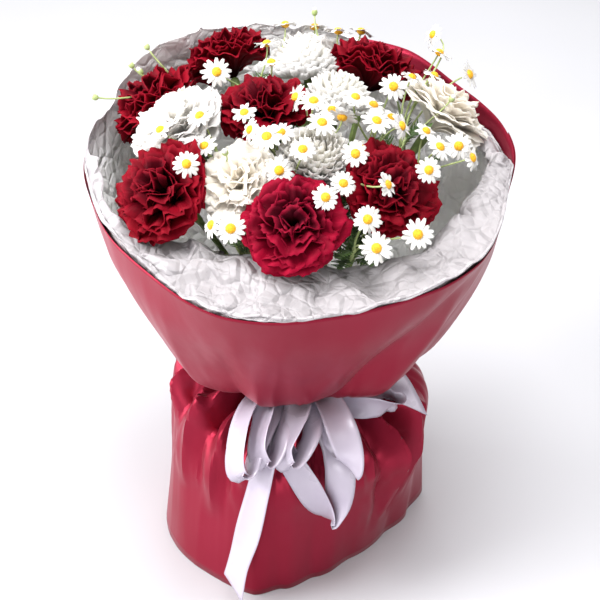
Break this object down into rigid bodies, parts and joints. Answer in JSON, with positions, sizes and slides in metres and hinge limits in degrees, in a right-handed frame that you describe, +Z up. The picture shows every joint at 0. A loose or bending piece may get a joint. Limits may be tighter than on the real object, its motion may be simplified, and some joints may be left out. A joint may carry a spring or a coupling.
{
  "type": "carnation bouquet",
  "caption": "Hand-tied bouquet of red and white carnations, white chrysanthemums and chamomile in a flared satin paper wrap with a knotted ribbon.",
  "frame": {"origin": "under the middle of the bouquet's outline, on the surface that the stem ends and the paper's hem stand on", "axes": "+Z up along the stems, front towards -Y: the side with the ribbon's knot"},
  "size_m": [0.3316, 0.327, 0.4211],
  "materials": {
    "satin_paper": "pearlescent satin",
    "tissue": "matt, crumpled",
    "satin_ribbon": "satin",
    "twine": "matt",
    "stem": "waxy",
    "red_petal": "velvety",
    "white_petal": "soft matt",
    "cream_petal": "soft matt",
    "chamomile": "soft matt"
  },
  "bodies": {
    "root": {"binding_twine": "twine", "carnation_cream_front": "cream_petal", "carnation_cream_front_stem": "stem", "carnation_cream_right": "cream_petal", "carnation_cream_right_stem": "stem", "carnation_red_back_left": "red_petal", "carnation_red_back_left_stem": "stem", "carnation_red_back_right": "red_petal", "carnation_red_back_right_stem": "stem", "carnation_red_far_left": "red_petal", "carnation_red_far_left_stem": "stem", "carnation_red_front": "red_petal", "carnation_red_front_left": "red_petal", "carnation_red_front_left_stem": "stem", "carnation_red_front_right": "red_petal", "carnation_red_front_right_stem": "stem", "carnation_red_front_stem": "stem", "carnation_red_middle": "red_petal", "carnation_red_middle_stem": "stem", "carnation_white_back": "white_petal", "carnation_white_back_stem": "stem", "carnation_white_left": "white_petal", "carnation_white_left_stem": "stem", "chamomile_back": "chamomile", "chamomile_back_left": "chamomile", "chamomile_back_right": "chamomile", "chamomile_far_left": "chamomile", "chamomile_far_right": "chamomile", "chamomile_front": "chamomile", "chamomile_front_left": "chamomile", "chamomile_front_middle": "chamomile", "chamomile_front_right": "chamomile", "chamomile_left": "chamomile", "chamomile_left_front": "chamomile", "chamomile_middle": "chamomile", "chamomile_middle_left": "chamomile", "chamomile_middle_right": "chamomile", "chamomile_right": "chamomile", "chrysanthemum_back": "white_petal", "chrysanthemum_back_stem": "stem", "chrysanthemum_front": "white_petal", "chrysanthemum_front_stem": "stem", "chrysanthemum_middle": "white_petal", "chrysanthemum_middle_stem": "stem", "outer_wrap_back": "satin_paper", "outer_wrap_front": "satin_paper", "satin_ribbon": "satin_ribbon", "tissue_back": "tissue", "tissue_front": "tissue"}
  },
  "joints": []
}
